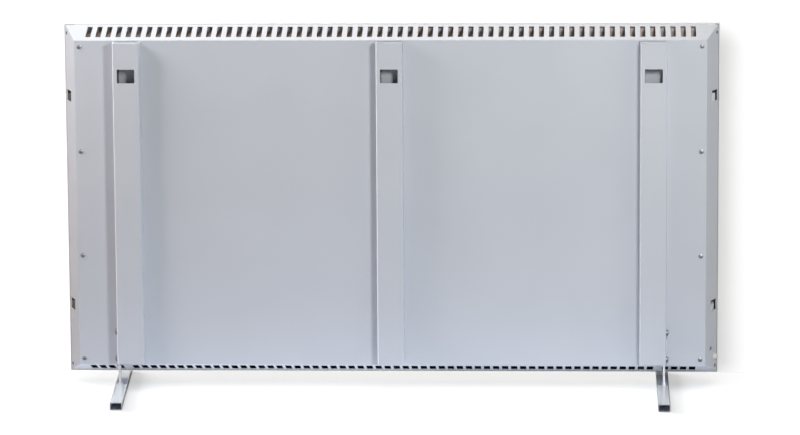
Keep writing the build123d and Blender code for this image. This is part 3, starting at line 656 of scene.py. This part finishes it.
foam_strip = moulded(
    "foam_strip", (0.06, 0.055, 0.05), (0.03, 0.028, 0.027), (0.85, 1.0), 900.0, 0.0004
)
red_silicone = moulded(
    "red_silicone", (0.42, 0.07, 0.04), (0.34, 0.05, 0.03), (0.35, 0.55), 160.0, 0.0003
)
cable_sheath = moulded(
    "cable_sheath", (0.62, 0.59, 0.53), (0.52, 0.49, 0.44), (0.5, 0.65), 500.0, 0.0001
)
glass_sleeve = moulded(
    "glass_sleeve", (0.58, 0.55, 0.48), (0.36, 0.34, 0.30), (0.7, 0.9), 1500.0, 0.0002
)
cream_plastic = moulded(
    "cream_plastic", (0.74, 0.71, 0.62), (0.70, 0.67, 0.58), (0.4, 0.5), 1200.0, 0.00005
)
white_plastic = moulded(
    "white_plastic", (0.80, 0.80, 0.80), (0.76, 0.76, 0.77), (0.25, 0.35), 1200.0, 0.00003
)
print("soft finishes:", foam_strip.name, red_silicone.name, cable_sheath.name, glass_sleeve.name)
print("plastics:", cream_plastic.name, white_plastic.name)

# %% [markdown]
# ## Give every piece its finish
#
# The frame's record already says which finish each piece takes, as a slot name. A table from
# slot to material, and one loop, dress the whole heater, so no piece is forgotten. Then the
# pieces that have a paint of their own get it.

# %% Dress the frame
finishes = {
    "stoneware": stoneware,
    "gasket_rubber": foam_strip,
    "casing_paint": casing_paint,
    "foot_paint": foot_paint,
    "rivet_paint": dull_steel,
    "galvanised_steel": galvanised,
    "zinc_steel": zinc_plate,
    "bond_silicone": red_silicone,
    "element_sheath": cable_sheath,
    "element_foil": drawn_foil,
    "lead_sheath": glass_sleeve,
    "terminal_plastic": cream_plastic,
    "white_plastic": white_plastic,
    "brass": plain_brass,
}
for part in frame["record"]["subparts"]:
    piece = nodes[part["node"]]
    piece.data.materials.clear()
    piece.data.materials.append(finishes[part["material_slot"]])
for node, paint in own_paint.items():
    nodes[node].data.materials[0] = paint

# %% [markdown]
# ## Weld beads under the uprights
#
# Each foot is a length of rectangular tube with a flat upright welded across it. A weld is a
# small lumpy fillet in the corner between them, painted over with the rest. A bead starts as a
# ring of points, which is extruded along the corner in short steps; each step is scaled a
# little up or down, which leaves the overlapping ripples that a welder's hand makes.


# %% A rippled bead along a corner
def weld_bead(name, body, start, finish, radius, steps=30):
    """A closed, rippled bar from start to finish, tapering at both ends."""
    along = finish - start
    mesh = bmesh.new()
    ring = bmesh.ops.create_circle(mesh, cap_ends=False, radius=radius, segments=14)["verts"]
    facing = along.to_track_quat("Z", "Y").to_matrix().to_4x4()
    bmesh.ops.transform(mesh, matrix=Matrix.Translation(start) @ facing, verts=ring)
    first_edges = list(mesh.edges)
    edges = first_edges
    size = 1.0
    for step in range(1, steps + 1):
        share = step / steps
        grown = bmesh.ops.extrude_edge_only(mesh, edges=edges)["geom"]
        edges = [item for item in grown if isinstance(item, bmesh.types.BMEdge)]
        ring = [item for item in grown if isinstance(item, bmesh.types.BMVert)]
        taper = min(1.0, 6 * min(share, 1 - share) + 0.45)
        ripple = 0.12 * math.sin(step * 2.1) + 0.04 * math.sin(step * 5.3)
        wanted = taper * (1 + ripple)
        middle = start + along * share
        bmesh.ops.translate(mesh, vec=along / steps, verts=ring)
        change = wanted / size
        bmesh.ops.scale(mesh, vec=(change,) * 3, space=Matrix.Translation(-middle), verts=ring)
        size = wanted
    bmesh.ops.contextual_create(mesh, geom=first_edges)
    bmesh.ops.contextual_create(mesh, geom=edges)
    bmesh.ops.recalc_face_normals(mesh, faces=mesh.faces)
    data = bpy.data.meshes.new(name)
    mesh.to_mesh(data)
    mesh.free()
    data.shade_smooth()
    data.materials.append(foot_paint)
    piece = bpy.data.objects.new(name, data)
    bpy.context.scene.collection.objects.link(piece)
    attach(piece, body)


print("helper:", weld_bead.__name__)

# %% [markdown]
# Each upright gets a bead along both of its faces, just clear of the corner with the tube. The
# uprights are turned 2 degrees from square with the panel, and the beads turn with them.

# %% Weld the uprights to the tubes
upright_turn = math.radians(2.0)
tube_top = 0.014
upright_half = 0.002
bead_half = 0.0105
bead_radius = 0.0016
clear_of_corner = 0.0004
for side, sign in (("left", -1), ("right", 1)):
    low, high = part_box(f"{side}_foot_upright")
    middle = Vector(((low.x + high.x) / 2, (low.y + high.y) / 2, tube_top))
    outward = Vector((sign * math.cos(upright_turn), math.sin(upright_turn), 0))
    rearward = Vector((-sign * math.sin(upright_turn), math.cos(upright_turn), 0))
    for face, push in (("outer", 1), ("inner", -1)):
        aside = outward * push * (upright_half + clear_of_corner)
        corner = middle + aside + Vector((0, 0, clear_of_corner))
        weld_bead(
            f"{side}_foot_{face}_weld",
            f"{side}_foot",
            corner - rearward * bead_half,
            corner + rearward * bead_half,
            bead_radius,
        )

# %% [markdown]
# ## Cards for the studio
#
# The floor, the backdrop and a dark flag are flat cards of one face. A helper makes each from a
# grid, turns it and sets it in its place.


# %% A flat card
def flat_card(name, size, place, turn, material):
    """A rectangle of one material, turned about X and then set in its place."""
    mesh = bmesh.new()
    bmesh.ops.create_grid(mesh, x_segments=1, y_segments=1, size=0.5)
    bmesh.ops.scale(mesh, vec=(*size, 1.0), verts=mesh.verts)
    bmesh.ops.rotate(mesh, cent=(0, 0, 0), matrix=Matrix.Rotation(turn, 3, "X"), verts=mesh.verts)
    bmesh.ops.translate(mesh, vec=place, verts=mesh.verts)
    data = bpy.data.meshes.new(name)
    mesh.to_mesh(data)
    mesh.free()
    data.materials.append(material)
    card = bpy.data.objects.new(name, data)
    bpy.context.scene.collection.objects.link(card)
    return card


print("helper:", flat_card.__name__)

# %% [markdown]
# ## Floor and backdrop
#
# The heater stands on a plain pale floor, close to a pale card that catches its soft shadow.
# Both are brightened for the camera alone, so they read as white without more light on the
# heater. The card is only seen: it neither shades the heater nor mirrors in it, and from
# behind it is clear, so the front of the heater can be looked at too.


# %% Lay the floor and hang the backdrop
def studio_white(name, lift_share, see_through):
    """A grey card that the camera sees as white, and from behind as clear if wanted."""
    material, tree, shader = new_material(name, Roughness=0.9)
    output = tree.nodes["Material Output"]
    light_path = add_node(tree, "ShaderNodeLightPath")
    tone = add_node(tree, "ShaderNodeMapRange", {"To Min": 0.34, "To Max": 0.86})
    lift = add_node(tree, "ShaderNodeMath", {1: lift_share}, operation="MULTIPLY")
    glow = add_node(tree, "ShaderNodeEmission", {"Color": (1, 1, 1, 1), "Strength": 1.0})
    lifted = add_node(tree, "ShaderNodeMixShader")
    join(tree, light_path.outputs["Is Camera Ray"], lift.inputs[0], tone.inputs["Value"])
    join(tree, tone.outputs["Result"], shader.inputs["Base Color"])
    join(tree, lift.outputs["Value"], lifted.inputs["Fac"])
    join(tree, shader.outputs["BSDF"], lifted.inputs[1])
    join(tree, glow.outputs["Emission"], lifted.inputs[2])
    join(tree, lifted.outputs["Shader"], output.inputs["Surface"])
    if see_through:
        back = add_node(tree, "ShaderNodeNewGeometry")
        clear = add_node(tree, "ShaderNodeBsdfTransparent")
        sided = add_node(tree, "ShaderNodeMixShader")
        join(tree, back.outputs["Backfacing"], sided.inputs["Fac"])
        join(tree, lifted.outputs["Shader"], sided.inputs[1])
        join(tree, clear.outputs["BSDF"], sided.inputs[2])
        join(tree, sided.outputs["Shader"], output.inputs["Surface"])
    return material


floor_white = studio_white("studio_floor", 0.45, False)
floor = flat_card("studio_floor", (40.0, 40.0), (0, 0, 0), 0.0, floor_white)
card_white = studio_white("studio_backdrop", 0.55, True)
upright = math.radians(-90)
backdrop = flat_card("studio_backdrop", (12.0, 8.0), (0, -0.182, 4.0), upright, card_white)
backdrop.visible_diffuse = False
backdrop.visible_glossy = False
backdrop.visible_shadow = False
print("backdrop faces", tuple(round(value, 2) for value in backdrop.data.polygons[0].normal))

# %% [markdown]
# ## A dark flag
#
# The far end of the left foot mirrors something dark in front of the heater, and the right foot
# doesn't. A small black card does that here. Only glossy rays meet it, so it is never seen.

# %% Hold the flag in front of the left foot
flag_black = new_material("studio_flag", Base_Color=(0.01, 0.01, 0.01, 1.0), Roughness=1.0)[0]
flag = flat_card("studio_flag", (0.18, 0.12), (-0.51, -0.2, 0.06), upright, flag_black)
flag.visible_camera = False
flag.visible_diffuse = False
flag.visible_shadow = False
print("flag in metres:", [round(value, 2) for value in flag.dimensions])

# %% [markdown]
# ## Lamps that light only some pieces
#
# In a studio, flags and reflectors keep a lamp's light to one part of the scene. Light linking
# does their work: a collection tells a lamp which objects it lights, or which it spares. The cards
# are spared by every lamp on the heater. The glossy foot tubes have lamps of their own, since
# what suits the panel would burn them out, and the glows from below light only the shell, which
# is the casing with its ribs. The top lamp also spares the left and middle ribs, because their
# upper edges stay plain in the picture, and the right one's shines.


# %% Group the pieces for the lamps
def light_group(name, members, state):
    """A collection that tells a lamp which objects it lights, or which it spares."""
    group = bpy.data.collections.new(name)
    for member in members:
        group.objects.link(member)
    for entry in group.collection_objects:
        entry.light_linking.link_state = state
    return group


tubes = [nodes["left_foot_tube"], nodes["right_foot_tube"]]
ribs = [nodes[name] for name in ("left_rib", "middle_rib", "right_rib")]
cards = (floor, backdrop)
all_but_cards = light_group("all_but_cards", cards, "EXCLUDE")
no_tubes = light_group("no_tubes", (*cards, *tubes), "EXCLUDE")
spared_by_top = light_group("spared_by_top", (*cards, *tubes, *ribs[:2]), "EXCLUDE")
tubes_only = light_group("tubes_only", tubes, "INCLUDE")
right_tube_only = light_group("right_tube_only", tubes[1:], "INCLUDE")
shell = light_group("shell", (nodes["rear_casing"], *ribs), "INCLUDE")

# %% [markdown]
# ## Light on the heater
#
# The openings in the ribs tell where the main light stood. Each shows a lit patch of the sheet
# behind it, with a dark band along its top and its right side, and that band grows from rib to
# rib. Only a small soft box, near, above and on the picture's right, shades them so. It also
# throws each rib's shadow to the left. The rest is filled in: a panel over the picture's left
# corner, one at its right side, a thin one above the top wall and a weak, warm one low on the
# left. The powers were first found by rendering the heater under one lamp at a time, because
# light simply adds up, and then trimmed.


# %% Hang the main lamps
def soft_panel(name, place, aim, size, power, colour, lit):
    """A rectangular area lamp that points at a place, lights a group and isn't seen."""
    data = bpy.data.lights.new(name, "AREA")
    data.shape = "RECTANGLE"
    data.size, data.size_y = size
    data.energy = power
    data.color = colour
    lamp = bpy.data.objects.new(name, data)
    lamp.visible_camera = False
    lamp.location = place
    lamp.rotation_euler = (Vector(aim) - Vector(place)).to_track_quat("-Z", "Y").to_euler()
    lamp.light_linking.receiver_collection = lit
    bpy.context.scene.collection.objects.link(lamp)


def count_lamps():
    """The number of lamps hung so far."""
    return sum(item.type == "LIGHT" for item in bpy.data.objects)


plain_white = (1.0, 1.0, 1.0)
side_tint = (1.0, 0.96, 0.95)
top_tint = (1.0, 0.94, 0.88)
orange = (1.0, 0.3, 0.1)
soft_panel("key_panel", (-0.8, 1.7, 1.28), (0, 0, 0.4), (0.35, 0.5), 21.0, plain_white, no_tubes)
soft_panel(
    "corner_panel", (1.25, 0.3, 1.25), (0.5, 0, 0.5), (0.5, 0.5), 10.3, plain_white, no_tubes
)
soft_panel("side_panel", (-1.6, 0.7, 0.6), (-0.5, 0, 0.35), (0.8, 0.8), 3.4, side_tint, no_tubes)
soft_panel("top_panel", (0, -0.35, 1.25), (0, 0, 0.65), (1.3, 0.2), 4.7, top_tint, spared_by_top)
soft_panel("warm_panel", (1.5, 0.5, 0.35), (0.5, 0, 0.3), (0.6, 0.4), 1.2, orange, no_tubes)
print("main lamps:", count_lamps())

# %% [markdown]
# ## Glows from the floor and inside
#
# A white floor throws a cool, weak light up the back, strongest near its foot. One wide panel
# on the floor does that. A narrow one under the panel lifts the bottom wall, and a thin strip
# inside the casing lets the rim show through the windows on the picture's left.

# %% Add the glows
cool_glow = (0.7, 0.8, 1.0)
pale_glow = (0.98, 0.97, 1.0)
inner_glow = (1.0, 0.9, 0.84)
under_place = (0.27, -0.045, 0.004)
under_aim = (0.27, -0.045, 1.0)
window_place = (0.57, -0.03, 0.34)
window_aim = (0.59, -0.077, 0.34)
soft_panel("floor_glow", (0, 0.1, 0.004), (0, 0.08, 1.0), (1.25, 0.3), 0.95, cool_glow, shell)
soft_panel("under_glow", under_place, under_aim, (0.7, 0.07), 0.055, pale_glow, shell)
soft_panel("window_glow", window_place, window_aim, (0.02, 0.5), 0.05, inner_glow, all_but_cards)
print("lamps with the glows:", count_lamps())

# %% [markdown]
# ## Lamps for the foot tubes and for the front
#
# The tubes lie flat on the floor, so a lamp straight above makes their tops pale. A lamp beyond
# the right foot's far end lights it, and a far lamp on the camera's side looks into their open
# ends. The last one stands in front of the plate, which the camera never sees, so that the
# heater can be looked at from there as well.

# %% Light the tubes and the front
soft_panel("feet_panel", (0.24, 0.14, 1.5), (0, 0.08, 0), (0.6, 0.2), 23.5, plain_white, tubes_only)
soft_panel(
    "far_panel", (1.2, -1.0, 0.5), (0.5, 0, 0), (0.6, 0.3), 8.7, plain_white, right_tube_only
)
soft_panel("mouth_panel", (-0.1, 3.0, 0.7), (0, 0.17, 0), (1.0, 0.3), 10.0, plain_white, tubes_only)
soft_panel("front_panel", (0.6, -3.2, 2.2), (0, 0, 0.4), (2.4, 1.6), 60.0, plain_white, no_tubes)
print("lamps on the heater:", count_lamps())

# %% [markdown]
# ## Light on the floor and the card
#
# The shadow beside the panel, below it and next to the feet is soft and short, and falls to the
# picture's right. Suns with wide disks light nothing but the floor and the card, and the heater
# stands in their way.
# Each disk's width sets how fast its shadow fades. One sun is held up by the tubes alone, for
# the dark seam where a tube meets the floor.


# %% Light the floor and the card
def wide_sun(name, heading, width, strength, receivers, blockers=None):
    """A sun with a wide disk that lights only its receivers."""
    data = bpy.data.lights.new(name, "SUN")
    data.energy = strength
    data.angle = math.radians(width)
    lamp = bpy.data.objects.new(name, data)
    lamp.rotation_euler = Vector(heading).to_track_quat("-Z", "Y").to_euler()
    lamp.light_linking.receiver_collection = receivers
    lamp.light_linking.blocker_collection = blockers
    bpy.context.scene.collection.objects.link(lamp)


card_only = light_group("card_only", (backdrop,), "INCLUDE")
floor_only = light_group("floor_only", (floor,), "INCLUDE")
wide_sun("card_sun", (-0.36, -1.0, -0.245), 36, 4.6, card_only)
wide_sun("floor_sun", (-0.25, -0.62, -0.8), 85, 3.4, floor_only)
wide_sun("seam_sun", (-0.75, 0.55, -0.22), 32, 6.4, floor_only, tubes_only)
print("lamps with the suns:", count_lamps())

# %% [markdown]
# ## A white world that hardly lights
#
# Whatever the floor and the card don't cover is white, where the camera sees it and where gloss
# mirrors it, as in a white studio. As light it is nearly off, because an even fill from all
# round would wash out the shadows that the lamps draw.

# %% Make the world white to look at
world = bpy.data.worlds.new("studio_world")
world.use_nodes = True
sky = world.node_tree.nodes["Background"]
sky.inputs["Color"].default_value = (1.0, 1.0, 1.0, 1.0)
seen_sky = add_node(world.node_tree, "ShaderNodeLightPath")
seen_or_mirrored = add_node(world.node_tree, "ShaderNodeMath", operation="MAXIMUM")
sky_strength = add_node(world.node_tree, "ShaderNodeMapRange", {"To Min": 0.02, "To Max": 1.0})
join(world.node_tree, seen_sky.outputs["Is Camera Ray"], seen_or_mirrored.inputs[0])
join(world.node_tree, seen_sky.outputs["Is Glossy Ray"], seen_or_mirrored.inputs[1])
join(world.node_tree, seen_or_mirrored.outputs["Value"], sky_strength.inputs["Value"])
join(world.node_tree, sky_strength.outputs["Result"], sky.inputs["Strength"])
bpy.context.scene.world = world
bpy.context.scene.view_settings.view_transform = "Standard"
print("world strength:", sky_strength.inputs["To Max"].default_value, "where it is seen")
